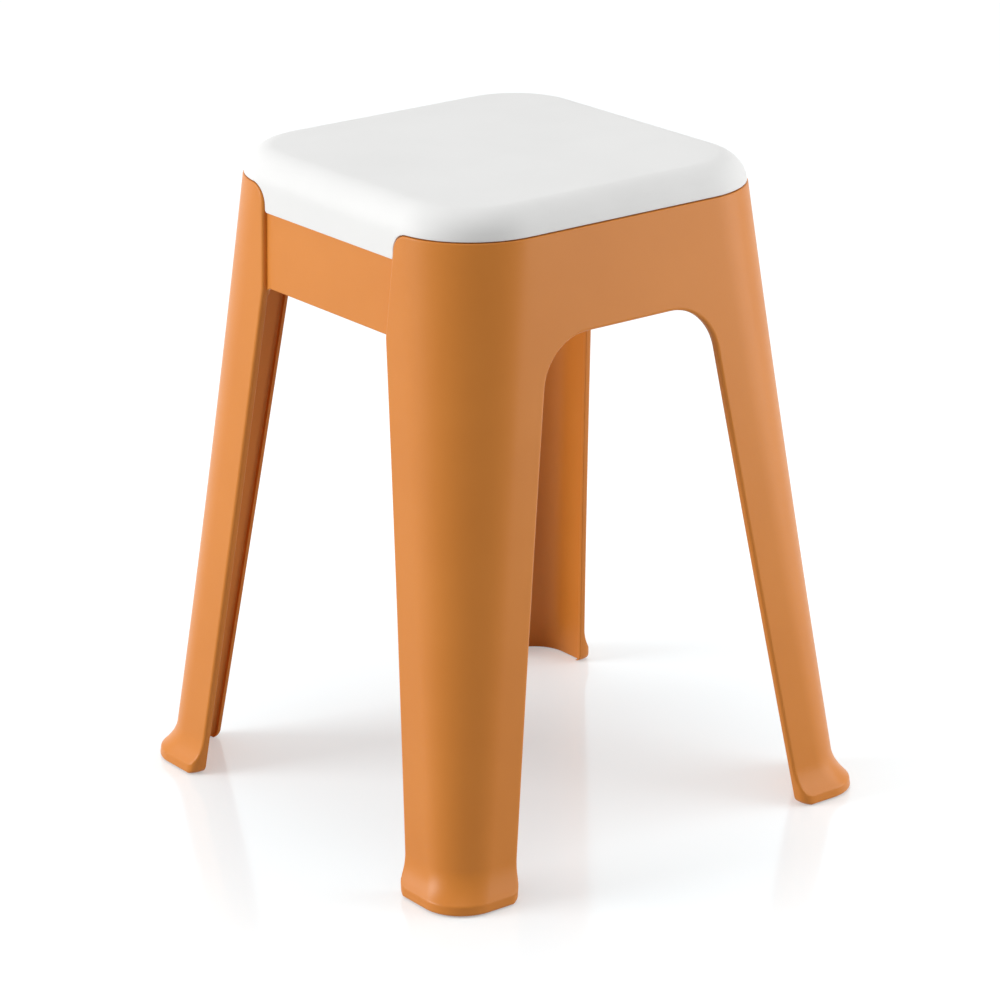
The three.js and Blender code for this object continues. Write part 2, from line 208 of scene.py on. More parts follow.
# Points and faces of one quarter of a moulding, mirrored into all four
class Quarter:
    def __init__(self):
        self.points, self.faces, self.count = [], [], 0

    def add(self, points, faces):
        self.faces += [[self.count + i for i in face] for face in faces]
        self.points.append(np.asarray(points, float).reshape(-1, 3))
        self.count += len(self.points[-1])

    def grid(self, grid):
        columns = grid.shape[1]
        starts = [i * columns + j for i in range(len(grid) - 1) for j in range(columns - 1)]
        self.add(grid, [(a, a + 1, a + columns + 1, a + columns) for a in starts])

    def mirrored(self):
        points = np.concatenate(self.points)
        faces = [[k * len(points) + i for i in face][::signX * signY]
                 for k, (signX, signY) in enumerate(quarters) for face in self.faces]
        return np.concatenate([points * (signX, signY, 1) for signX, signY in quarters]), faces


# Welds what touches, turns all faces outwards and shades them smooth
def cleanMesh(mesh, weld=0.0):
    build = bmesh.new()
    build.from_mesh(mesh)
    if weld:
        bmesh.ops.remove_doubles(build, verts=build.verts, dist=weld * mm)
        bmesh.ops.dissolve_degenerate(build, edges=build.edges, dist=weld * mm)
    bmesh.ops.recalc_face_normals(build, faces=build.faces)
    for face in build.faces:
        face.smooth = True
    build.to_mesh(mesh)
    build.free()


def mouldedPiece(name, builders):
    quarter = Quarter()
    for builder in builders:
        builder(quarter)
    points, faces = quarter.mirrored()
    mesh = bpy.data.meshes.new(name)
    mesh.from_pydata((points * mm).tolist(), [], faces)
    cleanMesh(mesh, weld=0.002)
    return newObject(name, mesh)


def insideOutline(spots, outline):
    start, end = outline, np.roll(outline, -1, axis=0)
    crossing = (start[:, 1] > spots[:, None, 1]) != (end[:, 1] > spots[:, None, 1])
    rise = np.where(end[:, 1] == start[:, 1], 1, end[:, 1] - start[:, 1])
    meet = start[:, 0] + (spots[:, None, 1] - start[:, 1]) * (end[:, 0] - start[:, 0]) / rise
    return (crossing & (spots[:, None, 0] < meet)).sum(1) % 2 == 1


# Fill a closed outline with triangles, using the lattice points that fall well inside it
def fillOutline(outline, lattice, margin):
    outline, lattice = np.asarray(outline, float), np.asarray(lattice, float).reshape(-1, 2)
    start, along = outline, np.roll(outline, -1, axis=0) - outline
    length = np.maximum((along ** 2).sum(1), 1e-9)
    share = np.clip(((lattice[:, None] - start) * along).sum(2) / length, 0, 1)
    distance = np.sqrt(((lattice[:, None] - start - share[..., None] * along) ** 2).sum(2)).min(1)
    points = np.concatenate([outline, lattice[insideOutline(lattice, outline) & (distance > margin)]])
    edges = [(i, (i + 1) % len(outline)) for i in range(len(outline))]
    result = delaunay_2d_cdt([Vector(point) for point in points], edges, [], 1, 1e-6, True)
    sources = np.array([ids[0] if ids else -1 for ids in result[3]])
    faces = np.array([[sources[i] for i in face] for face in result[2] if len(face) == 3])
    inside = (faces.min(1) >= 0) & insideOutline(points[faces].mean(1), outline)
    return points, faces[inside].tolist()


# Rows that lie close together are moved apart for the triangulation, and back
def moveRows(points, rows, places):
    return np.column_stack([points[:, 0], np.interp(points[:, 1], rows, places)])


# Stations along an edge: each has a run and a height for every row of the edge's section
def stations(line, away):
    return np.array([[s + 0 * away, z + 0 * away] for s, z in line]).transpose(1, 0, 2)


def arcRun(across, up, radius, start, end, count):
    return [(across + radius * math.cos(angle), up + radius * math.sin(angle))
            for angle in np.linspace(start, end, count)]


# A quarter round from a face over to an edge, as (distance from the edge, depth below the face)
def roundOver(radius, count):
    return [(radius * (1 - math.sin(angle)), radius * (1 - math.cos(angle)))
            for angle in np.linspace(0, halfPi, count)]


# The section of a leg's edge: skin, fillet, the turned-in flange and its foot on the wall inside
edgeSection = {
    "fillet": 2.2,
    "rimFillet": 0.8,
    "skinSpots": (7.0, 5.4, 4.2, 3.2, 2.5),  # distances from the edge
    "middle": 2.6,
    "depth": 5.2,
    "innerFillet": 0.8,
    "flange": ((1.8, 5.2), (2.6, 5.2), (2.88, 5.08), (3.0, 4.8), (3.0, 3.4), (3.18, 2.98)),
    "wall": 2.8,
    "wallSpots": (3.6, 5.0, 7.0),
}


# Rows of (distance from the edge, depth below the skin, follows the lip, follows the wall)
def legSection(fillet):
    e = edgeSection
    skin = [(away, 0) for away in e["skinSpots"]] + roundOver(fillet, 6)
    inner = roundOver(e["innerFillet"], 5)[::-1]
    flange = [(0, e["middle"]), *[(away, e["depth"] - down) for away, down in inner], *e["flange"]]
    wall = [(away, e["wall"]) for away in e["wallSpots"]]
    follows = [(1, 0)] * len(skin) + [(0, 0)] * len(flange) + [(0, 1)] * len(wall)
    return np.column_stack([skin + flange + wall, follows])


def lipLimit(away):
    radius = foot["lipEnd"]
    fade = np.clip(radius - away, 0, radius)
    return foot["lipReach"] - radius + np.sqrt(radius ** 2 - fade ** 2)


def innerGain(z):
    share = 1 - np.clip(z / foot["innerHeight"], 0, 1)
    return foot["innerReach"] * (1 - np.sqrt(1 - share ** 2))


def webShift(z, away):
    corner = foot["webCorner"]
    low = np.clip(corner - (z - body["soleHeight"]), 0, corner)
    return (corner - np.sqrt(corner ** 2 - low ** 2)) * np.clip(1 - away / foot["webFade"], 0, 1)


# How far out of the skin the points of a section lie
def sectionOut(z, rows):
    reach = np.minimum(footReach(z), lipLimit(rows[..., 0]))
    return rows[..., 2] * reach + rows[..., 3] * innerGain(z) - rows[..., 1]


# Rows of the mesh: close together in the foot, then evenly up the leg
webZ = body["soleHeight"] + foot["webCorner"] * (1 - np.cos(np.linspace(0, halfPi, 9)))
lowZ = np.unique(np.round(np.concatenate([footRows[:, 1], webZ]), 4))
lowZ = lowZ[np.append(True, np.diff(lowZ) > 0.02)]
highZ = np.arange(34.0, 320.0, 8.0)
farUp = 1000.0
closeRows = np.append(lowZ, farUp)
spreadPlaces = np.append(foot["flareTop"] - 5.0 * np.arange(len(lowZ))[::-1], farUp)


def archStations(section):
    away = section[:, 0]
    tilt = math.atan(arch["slope"])
    centreZ = arch["top"] - arch["corner"]
    centreX = archEdge(centreZ) - arch["corner"] / math.cos(tilt)
    line = [(x, arch["top"] + away) for x in np.linspace(0, centreX, arch["topSteps"])[:-1]]
    line += arcRun(centreX, centreZ, arch["corner"] + away, halfPi, tilt, arch["cornerSteps"])
    straight = np.concatenate([lowZ, highZ])
    below = straight[straight < line[-1][1].min() - body["spacing"] / 2]
    line += [(archEdge(z) + away / math.cos(tilt) + webShift(z, away), z) for z in below[::-1]]
    return stations(line, away)


def wingStations(section):
    away = section[:, 0]
    lean = 1 / math.cos(math.atan(wing["slope"]))
    line, sections = [], []
    for z in np.concatenate([lowZ, highZ, wing["upperRows"]]):
        y = wingEdge(z) + away * (lean if z < wing["kink"] else 1) + webShift(z, away)
        line.append((runOfY(y, z), z))
        sections.append(section)
    # round the wing's corner the fillet shrinks to the rim's
    centreY = wing["topHalf"] + wing["corner"]
    for share in np.linspace(0, 1, wing["cornerSteps"]):
        sections.append(legSection(lerp(edgeSection["fillet"], edgeSection["rimFillet"], share)))
        away = sections[-1][:, 0]
        angle = lerp(math.pi, halfPi, share)
        z = wing["cornerZ"] + (wing["corner"] - away) * math.sin(angle)
        line.append((runOfY(centreY + (wing["corner"] - away) * math.cos(angle), z), z))
    # along the rim, first round the corner and then straight
    rimLevel = body["rimTop"] - away
    halfX, halfY, radius = skinPlan(body["rimHeight"])
    edgeX, _, edgeRadius = skinPlan(rimLevel)
    startTheta = halfPi - math.asin((centreY - (halfY - radius)) / radius)
    line += [(edgeX - edgeRadius + edgeRadius * theta, rimLevel)
             for theta in np.linspace(startTheta, 0, body["cornerSteps"] + 1)[1:]]
    line += [(x, rimLevel) for x in np.linspace(halfX - radius, 0, 10)[1:]]
    sections += [sections[-1]] * (len(line) - len(sections))
    return *stations(line, away), np.array(sections)


def skinLattice(levels):
    points = []
    for z in levels:
        halfX, halfY, radius = skinPlan(z)
        flatX, flatY = halfX - radius, halfY - radius
        arcLength = radius * halfPi
        across = list(np.arange(flatX, 0, -body["spacing"])[::-1])
        across += list(flatX + arcLength * np.linspace(0, 1, body["cornerSteps"] + 1)[1:])
        across += list(flatX + arcLength + np.arange(body["spacing"], flatY, body["spacing"]))
        points += [(s, z) for s in across]
    return np.array(points)


def buildFrame(quarter):
    section = legSection(edgeSection["fillet"])
    archS, archZ = archStations(section)
    wingS, wingZ, wingSections = wingStations(section)
    for s, z, rows in ((archS, archZ, section[None]), (wingS, wingZ, wingSections)):
        quarter.grid(skinPoint(s, z, sectionOut(z, rows)))
    # outline of the skin inside the edge strips: down the arch, along the sole, up the wing, round the rim
    soleZ, spacing = lowZ[0], body["spacing"]
    room = spacing / 3
    sole = np.array([s for s, z in skinLattice([soleZ]) if archS[-1, 0] + room < s < wingS[0, 0] - room])
    outline = list(zip(archS[:, 0], archZ[:, 0])) + [(s, soleZ) for s in sole]
    middle = [(0.0, z) for z in np.arange(376, 420, spacing)[::-1]]  # down the middle of the front apron
    outline = np.array(outline + list(zip(wingS[:, 0], wingZ[:, 0])) + middle)
    lattice = skinLattice(np.concatenate([lowZ[1:], highZ, np.arange(324, 424, spacing)]))
    points, faces = fillOutline(moveRows(outline, closeRows, spreadPlaces),
                                moveRows(lattice, closeRows, spreadPlaces), body["margin"])
    inner = moveRows(points[len(outline):], spreadPlaces, closeRows)
    s, z = np.concatenate([outline, inner]).T
    for out in (footReach(z), innerGain(z) - edgeSection["wall"]):
        quarter.add(skinPoint(s, z, out), faces)
    # the sole closes the wall at the bottom
    archEnd = skinPoint(archS[-1], archZ[-1], sectionOut(archZ[-1], section))
    wingEnd = skinPoint(wingS[0], wingZ[0], sectionOut(wingZ[0], section))
    inner, outer = (skinPoint(sole, soleZ, out)
                    for out in (innerGain(soleZ) - edgeSection["wall"], footReach(soleZ)))
    loop = np.concatenate([archEnd, inner, wingEnd[::-1], outer[::-1]])
    points, faces = fillOutline(loop[:, :2], [], 0)
    quarter.add(np.column_stack([points, np.full(len(points), soleZ)]), faces)


# The two side aprons: flat panels set back behind the wings, their ends tucked into the leg flanges
sideApron = {
    "bottom": 360.5,
    "corner": 5.0,
    "recess": 3.4,
    "wall": 2.8,
    "fillet": 0.8,
    "tuck": 2.6,
    "top": 430.0,
    "rows": (358, 359.5, 361, 363, 366, 372, 379, 386, 393, 400, 407, 414),
    "spacing": 7,
    "margin": 1.6,
}


def buildSideApron(quarter):
    a = sideApron
    edge = roundOver(a["fillet"], 5)
    section = [(1.0, 0)] + edge + [(away, a["wall"] - down) for away, down in edge[::-1]] + [(1.0, a["wall"])]
    away, depth = np.array(section).T
    depth = depth + a["recess"]
    turn = a["tuck"] / 2
    tilt = math.atan(wing["slope"])
    centreZ = a["bottom"] - a["corner"]
    centreY = wingEdge(centreZ) - a["corner"] / math.cos(tilt)
    reach = a["corner"] + turn
    line = [(y, a["bottom"] + away) for y in np.linspace(0, centreY, 9)[:-1]]
    line += arcRun(centreY, centreZ, a["corner"] + away, halfPi, tilt, 9)
    line += arcRun(centreY + reach * math.cos(tilt), centreZ + reach * math.sin(tilt), turn - away,
                   math.pi + tilt, 2 * math.pi + tilt, 9)[1:]
    line += [(wingEdge(z) + a["tuck"] - away, z) for z in a["rows"]]
    cornerY = wing["topHalf"] + wing["corner"]
    radius = wing["corner"] - a["tuck"]
    line += arcRun(cornerY, wing["cornerZ"], radius + away, math.pi, halfPi, 9)
    line += arcRun(cornerY, wing["cornerZ"] + radius + turn, turn - away, -halfPi, halfPi, 9)[1:]
    line += [(y, a["top"] - away) for y in np.linspace(cornerY, 0, 11)[1:]]
    y, z = stations(line, away)
    quarter.grid(skinPoint(runOfY(y, z), z, -depth))
    outline = list(zip(-y[:, 0], z[:, 0])) + [(0.0, level) for level in np.arange(368, 428, 8)[::-1]]
    lattice = [(-across, level) for level in np.arange(364, a["top"], a["spacing"])
               for across in np.arange(a["spacing"], cornerY, a["spacing"])]
    points, faces = fillOutline(outline, lattice, a["margin"])
    s = runOfY(-points[:, 0], points[:, 1])
    for inside in (a["recess"], a["recess"] + a["wall"]):
        quarter.add(skinPoint(s, points[:, 1], -inside), faces)


# The seat cover: a cap whose rim rolls over, with a lower skirt between the wings on each side
cover = {
    "inset": 0.4,
    "wall": 2.5,
    "rollReach": 20.5,
    "rollHeight": 19.8,
    "rollPower": 1.95,
    "rollSteps": 15,
    "rollSpread": 30.0,  # how tall the roll is drawn for the triangulation
    "gap": 0.7,
    "skirtBottom": 411.3,
    "skirtCorner": 2.2,
    "fillet": 0.6,
    "innerFillet": 0.5,
    "ribDepth": 5.4,
    "wallRows": (416.0, 420.0, 424.0, 428.0),
    "margin": 0.9,
}
cover["rollStart"] = body["seatHeight"] - cover["rollHeight"]
rim = body["rimHeight"]


def rollInset(rise, reach):
    power = cover["rollPower"]
    return reach * (1 - (1 - np.clip(rise, 0, 1) ** power) ** (1 / power))


def coverPoint(s, z, depth):
    rise = np.maximum(z - cover["rollStart"], 0) / cover["rollHeight"]
    level = np.minimum(z, cover["rollStart"]) + rise * (cover["rollHeight"] - depth)
    out = -cover["inset"] - depth - rollInset(rise, cover["rollReach"] - depth)
    return skinPoint(s, level, out, rim)


def rimRuns(spacing=8.0):
    halfX, halfY, radius = skinPlan(rim)
    flatX, flatY = halfX - radius, halfY - radius
    arcLength = radius * halfPi
    return np.concatenate([
        np.linspace(0, flatX, int(flatX / spacing) + 1),
        flatX + arcLength * np.linspace(0, 1, body["cornerSteps"] + 1)[1:],
        flatX + arcLength + np.linspace(0, flatY, int(flatY / spacing) + 1)[1:]])


# Fill a level face: the ring runs from the middle of the front to the middle of the side
def levelFill(quarter, ring, z, spacing=12.0):
    ring = ring[:, :2]
    down = np.arange(ring[0, 1] - spacing, spacing / 3, -spacing)
    back = np.arange(spacing, ring[-1, 0] - spacing / 3, spacing)
    outline = np.concatenate([ring, np.column_stack([back[::-1], 0 * back]), [[0, 0]],
                              np.column_stack([0 * down, down[::-1]])])
    steps = np.arange(spacing, body["rimHalfY"], spacing)
    points, faces = fillOutline(outline, [(x, y) for x in steps for y in steps], spacing / 4)
    quarter.add(np.column_stack([points, np.full(len(points), z)]), faces)


def buildCover(quarter):
    c = cover
    section = [(1.8, 0), (1.3, 0)] + roundOver(c["fillet"], 6)
    section += [(away, c["wall"] - down) for away, down in roundOver(c["innerFillet"], 4)[::-1]]
    section += [(1.1, c["wall"]), (1.8, c["wall"])]
    away, depth = np.array(section).T
    edge = body["rimTop"] + c["gap"]
    cornerY = wing["topHalf"] + wing["corner"]
    skirtY = wing["topHalf"] - c["gap"] - c["skirtCorner"]
    runs = rimRuns()
    bends = arcRun(cornerY, wing["cornerZ"], wing["corner"] + c["gap"] + away, halfPi, math.pi, 13)
    bends += arcRun(skirtY, c["skirtBottom"] + c["skirtCorner"], c["skirtCorner"] - away, 0, -halfPi, 7)
    line = [(run, edge + away) for run in runs[runs < runOfY(cornerY, rim) - 3]]
    line += [(runOfY(y, rim), z) for y, z in bends]
    line += [(runOfY(y, rim), c["skirtBottom"] + away) for y in np.linspace(skirtY, 0, 10)[1:]]
    s, z = stations(line, away)
    quarter.grid(coverPoint(s, z, depth))
    # the wall and the roll, up to the edge of the level top
    share = np.linspace(0, 1, c["rollSteps"])
    rollZ = c["rollStart"] + c["rollHeight"] * np.sin(halfPi * share) ** (2 / c["rollPower"])
    rollZ[-1] = body["seatHeight"]
    rows = np.append(0, rollZ)
    places = np.append(0, c["rollStart"] + c["rollSpread"] * share)
    side = [(runs[-1], level) for level in (*c["wallRows"], *rollZ[rollZ > rim][:-1])]
    top = [(run, rollZ[-1]) for run in runs[::-1]]
    front = [(0.0, level) for level in rollZ[rollZ > edge + 3][:-1][::-1]]
    outline = np.array(list(zip(s[:, 0], z[:, 0])) + side + top + front)
    lattice = np.array([(run, level) for level in (*c["wallRows"], *rollZ[1:-1]) for run in runs[1:-1]])
    points, faces = fillOutline(moveRows(outline, rows, places), moveRows(lattice, rows, places), c["margin"])
    level = np.append(outline[:, 1], moveRows(points[len(outline):], places, rows)[:, 1])
    for wall in (0, c["wall"]):
        quarter.add(coverPoint(points[:, 0], level, wall), faces)
        levelFill(quarter, coverPoint(runs, np.full(len(runs), rollZ[-1]), wall), rollZ[-1] - wall)


# Under the cover: the plinth that fills it, and the deck with its ribs
deck = {
    "plinthLow": 424.0,
    "plinthInset": 2.8,
    "thickness": 2.8,
    "wall": 2.8,
    "ribDepth": 14.0,
    "fitGap": 0.3,
}
deck["top"] = body["seatHeight"] - cover["wall"] - cover["ribDepth"] - deck["fitGap"]
deck["under"] = deck["top"] - deck["thickness"]


def plinthRing(runs, z, inside):
    rise = np.clip((z - cover["rollStart"]) / (cover["rollHeight"] - cover["wall"]), 0, 1)
    out = -cover["inset"] - deck["plinthInset"] - inside - rollInset(rise, cover["rollReach"] - cover["wall"])
    return skinPoint(runs, z, out, rim)


def buildPlinth(quarter):
    runs = rimRuns()
    walls = []
    for inside, top, steps in ((0, deck["top"], 7), (deck["wall"], deck["under"], 6)):
        levels = [deck["plinthLow"], *np.linspace(cover["rollStart"], top, steps)]
        walls.append(np.array([plinthRing(runs, z, inside) for z in levels]))
        quarter.grid(walls[-1])
        levelFill(quarter, walls[-1][-1], top)
    quarter.grid(np.array([walls[0][0], walls[1][0]]))


# A finish: "cloud" shifts the tone, "grain" the gloss and the relief, each (size in mm, detail, roughness).
# "gloss" is the range of roughness, "relief" the bump's strength and its height in mm

# Injection-moulded polypropylene, dyed right through. Its satin surface spreads each lamp into one broad soft
# highlight, and the spark-eroded grain keeps that from looking wet
orangeLook = {
    "tones": ("#D3802D", "#D5822F", "#D78431"),
    "cloud": (60.0, 3, 0.5),  # slow changes of tone from the flow of the melt
    "grain": (0.9, 2, 0.6),  # drawn coarser than the real 0.1 mm so that it shows
    "gloss": (0.34, 0.42),
    "relief": (0.5, 0.012),
    "shader": {"IOR": 1.49, "Specular IOR Level": 0.33},
}

# The same moulding in white and a little duller, so that the roll of the seat shades softly, like porcelain
whiteLook = {
    "tones": ("#E6E6E5", "#E8E8E7", "#EAEAE9"),
    "cloud": (80.0, 3, 0.5),
    "grain": (0.8, 2, 0.6),
    "gloss": (0.46, 0.54),
    "relief": (0.5, 0.010),
    "shader": {"IOR": 1.49, "Specular IOR Level": 0.18},
}

# Moulded rubber for the foot pads: dull, even and dark, so that the eye sees it grip and not slide
rubberLook = {
    "tones": ("#6A6A67", "#72726F", "#7A7A77"),
    "cloud": (25.0, 3, 0.5),
    "grain": (0.7, 2, 0.6),
    "gloss": (0.68, 0.76),
    "relief": (0.5, 0.03),
    "shader": {"IOR": 1.49, "Specular IOR Level": 0.35},
}

# Zinc on a pressed steel screw: pale bluish metal that glints, with short soft streaks left by the plating
zincLook = {
    "tones": ("#A5A9AD", "#C6CACD"),
    "cloud": (1.2, 3, 0.6),
    "grain": (1.2, 3, 0.6),
    "stretch": (1, 1, 0.35),  # longer along the screw
    "gloss": (0.26, 0.40),
    "relief": (0.4, 0.01),
    "shader": {"Metallic": 1.0},
}


def makeFinish(name, look):
    material, tree = newMaterial(name)
    place = addNode(tree, "ShaderNodeTexCoord").outputs["Object"]
    along = addNode(tree, "ShaderNodeMapping", {"Vector": place, "Scale": look.get("stretch", (1, 1, 1))})
    patterns = []
    for size, detail, roughness in (look["cloud"], look["grain"]):
        patterns.append(addNode(tree, "ShaderNodeTexNoise", {
            "Vector": along, "Scale": 1 / (size * mm), "Detail": detail, "Roughness": roughness}))
    cloud, grain = patterns
    tone = addNode(tree, "ShaderNodeValToRGB", {"Fac": cloud})
    stops = tone.color_ramp.elements
    stops[0].position, stops[1].position = 0.3, 0.7
    if len(look["tones"]) == 3:
        stops.new(0.5)
    for stop, colour in zip(stops, look["tones"]):
        stop.color = hexColour(colour)
    smooth, rough = look["gloss"]
    gloss = addNode(tree, "ShaderNodeMapRange", {
        "Value": grain, "From Min": 0.3, "From Max": 0.7, "To Min": smooth, "To Max": rough})
    strength, height = look["relief"]
    bump = addNode(tree, "ShaderNodeBump", {"Height": grain, "Strength": strength, "Distance": height * mm})
    shader = addNode(tree, "ShaderNodeBsdfPrincipled", {
        "Base Color": tone, "Roughness": gloss, "Normal": bump, **look["shader"]})
    addNode(tree, "ShaderNodeOutputMaterial", {"Surface": shader})
    return material


orangePlastic = makeFinish("orange_moulded_polypropylene", orangeLook)
whitePlastic = makeFinish("white_moulded_polypropylene", whiteLook)
padRubber = makeFinish("grey_moulded_rubber", rubberLook)
zincSteel = makeFinish("zinc_plated_pressed_steel", zincLook)
print("materials made")


# Geometry Nodes: a tree works in millimetres from named inputs, and its result becomes a plain mesh in metres
def treeObject(name, shape, sizes, material):
    tree = bpy.data.node_groups.new(name + "_tree", "GeometryNodeTree")
    for label, value in sizes.items():
        kind = "NodeSocketInt" if isinstance(value, int) else "NodeSocketFloat"
        tree.interface.new_socket(label, in_out="INPUT", socket_type=kind)
    tree.interface.new_socket("Geometry", in_out="OUTPUT", socket_type="NodeSocketGeometry")
    made = shape(tree, addNode(tree, "NodeGroupInput").outputs)
    loose = addNode(tree, "GeometryNodeRealizeInstances", {"Geometry": made})
    merged = addNode(tree, "GeometryNodeMergeByDistance", {"Geometry": loose, "Distance": 0.002})
    metres = addNode(tree, "GeometryNodeTransform", {"Geometry": merged, "Scale": (mm, mm, mm)})
    whole = addNode(tree, "GeometryNodeRealizeInstances", {"Geometry": metres})
    painted = addNode(tree, "GeometryNodeSetMaterial", {"Geometry": whole, "Material": material})
    addNode(tree, "NodeGroupOutput", {"Geometry": painted})

    carrier = newObject(name, bpy.data.meshes.new(name + "_carrier"))
    modifier = carrier.modifiers.new(name, "NODES")
    modifier.node_group = tree
    for item in tree.interface.items_tree:
        if item.in_out == "INPUT":
            modifier[item.identifier] = sizes[item.name]
    graph = bpy.context.evaluated_depsgraph_get()
    mesh = bpy.data.meshes.new_from_object(carrier.evaluated_get(graph))
    carrier.modifiers.clear()
    carrier.data = mesh
    cleanMesh(mesh)
    return carrier


# Ribs across a moulding. Each end follows the wall that it runs into, also where that rolls over
def ribShape(tree, size):
    outline = addNode(tree, "GeometryNodeCurvePrimitiveQuadrilateral", {
        "Height": size["Height"], "Bottom Width": size["Foot Width"],
        "Top Width": size["Width"]}, mode="TRAPEZOID")
    rounded = addNode(tree, "GeometryNodeFilletCurve", {
        "Curve": outline, "Radius": size["Edge"], "Count": 4}, mode="POLY")
    stepped = addNode(tree, "GeometryNodeResampleCurve", {"Curve": rounded, "Count": 48}, mode="COUNT")
    line = addNode(tree, "GeometryNodeCurvePrimitiveLine", {"Start": (-100, 0, 0), "End": (100, 0, 0)})
    level = addNode(tree, "GeometryNodeSetCurveNormal", {"Curve": line}, mode="Z_UP")
    rib = addNode(tree, "GeometryNodeCurveToMesh", {
        "Curve": level, "Profile Curve": stepped, "Fill Caps": True})
    first = addNode(tree, "ShaderNodeCombineXYZ", {"Y": size["First Row"], "Z": size["Middle"]})
    step = addNode(tree, "ShaderNodeCombineXYZ", {"Y": size["Pitch"]})
    row = addNode(tree, "GeometryNodeMeshLine", {
        "Count": size["Rows"], "Start Location": first, "Offset": step})
    ribs = addNode(tree, "GeometryNodeInstanceOnPoints", {"Points": row, "Instance": rib})
    loose = addNode(tree, "GeometryNodeRealizeInstances", {"Geometry": ribs})
    place = addNode(tree, "GeometryNodeInputPosition")
    spot = addNode(tree, "ShaderNodeSeparateXYZ", {"Vector": place}).outputs

    # the wall's round corner in plan: how far it has turned away at this row
    reach = spot["Y"]
    for kind, *others in (
            ("ABSOLUTE",), ("SUBTRACT", size["Flat Across"]), ("MAXIMUM", 0), ("POWER", 2),
            ("MULTIPLY_ADD", -1, size["Corner Squared"]), ("SQRT",), ("ADD", size["Inner Along"])):
        reach = addNode(tree, "ShaderNodeMath", dict(enumerate((reach, *others))), operation=kind)
    # the roll: the share of its reach that is left at this height
    side = addNode(tree, "ShaderNodeMath", {0: spot["X"]}, operation="SIGN")
    end = addNode(tree, "ShaderNodeMapRange", {
        "Value": spot["Z"], "From Min": size["Roll Start"], "From Max": size["Roll End"]})
    for kind, *others in (
            ("POWER", size["Roll Power"]), ("MULTIPLY_ADD", -1, 1), ("POWER", size["Roll Root"]),
            ("MULTIPLY_ADD", size["Roll Reach"], reach), ("MULTIPLY", side)):
        end = addNode(tree, "ShaderNodeMath", dict(enumerate((end, *others))), operation=kind)
    moved = addNode(tree, "ShaderNodeCombineXYZ", {"X": end, "Y": spot["Y"], "Z": spot["Z"]})
    fitted = addNode(tree, "GeometryNodeSetPosition", {"Geometry": loose, "Position": moved})
    angle = addNode(tree, "ShaderNodeCombineXYZ", {"Z": size["Turn"]})
    return addNode(tree, "GeometryNodeTransform", {"Geometry": fitted, "Rotation": angle})


# Both sets of ribs of one moulding; "bury" is how far their ends run into the wall
def ribPair(name, look, material):
    inside = cover["inset"] + look["inside"] - look["bury"]
    halfX, halfY, corner = (size - inside for size in skinPlan(rim))
    rollReach = cover["rollReach"] - look["rollLess"]
    sizes = {
        "Width": look["width"],
        "Foot Width": look["footShare"] * look["width"],
        "Height": look["top"] - look["low"],
        "Middle": (look["top"] + look["low"]) / 2,
        "Edge": look["edge"],
        "Pitch": look["pitch"],
        "Rows": 2 * look["perSide"] + 1,
        "First Row": -look["pitch"] * look["perSide"],
        "Corner Squared": corner ** 2,
        "Roll Start": cover["rollStart"],
        "Roll End": cover["rollStart"] + cover["rollHeight"] - look["rollLess"],
        "Roll Reach": rollReach,
        "Roll Power": cover["rollPower"],
        "Roll Root": 1 / cover["rollPower"],
    }
    made = []
    for turn, along, across in ((0.0, halfX, halfY), (halfPi, halfY, halfX)):
        places = {"Turn": turn, "Flat Across": across - corner, "Inner Along": along - corner - rollReach}
        made.append(treeObject(name, ribShape, {**sizes, **places}, material))
    return made


# Four pan-head screws that hold the cover down from below, point up
screws = {
    "Spread": 126.0,  # mm between two screws, along X and along Y
    "Seat": 435.8,
    "Head Radius": 3.8,
    "Head Drop": -2.4,
    "Crown Power": 2.6,
    "Crown Root": 0.42,
    "Core Radius": 1.3,
    "Tip Radius": 0.104,
    "Taper From": 0.8275,  # share of the shank's length
    "Shank Length": 9.6,
    "Thread Turns": 5.0,
    "Thread Length": 6.912,
    "Thread Start": 0.9,
    "Thread Rise": 0.4,
    "Recess Width": 1.0,
    "Recess Reach": 4.0,
    "Recess Depth": 1.5,
    "Recess Below": -0.8,  # the cutter starts outside the head
    "Recess Narrowing": -0.45,
    "Seed": 7,
}


def fourPoints(tree, spread, z):
    grid = addNode(tree, "GeometryNodeMeshGrid", {
        "Vertices X": 2, "Vertices Y": 2, "Size X": spread, "Size Y": spread})
    lift = addNode(tree, "ShaderNodeCombineXYZ", {"Z": z})
    return addNode(tree, "GeometryNodeTransform", {"Geometry": grid, "Translation": lift})


# A turned shape: a line along Z whose thickness follows how far along it a point is
def turnedShape(tree, length, thickness, steps, sides):
    end = addNode(tree, "ShaderNodeCombineXYZ", {"Z": length})
    line = addNode(tree, "GeometryNodeCurvePrimitiveLine", {"End": end})
    stepped = addNode(tree, "GeometryNodeResampleCurve", {"Curve": line, "Count": steps}, mode="COUNT")
    circle = addNode(tree, "GeometryNodeCurvePrimitiveCircle", {"Resolution": sides, "Radius": 1.0})
    return addNode(tree, "GeometryNodeCurveToMesh", {
        "Curve": stepped, "Profile Curve": circle, "Scale": thickness, "Fill Caps": True})


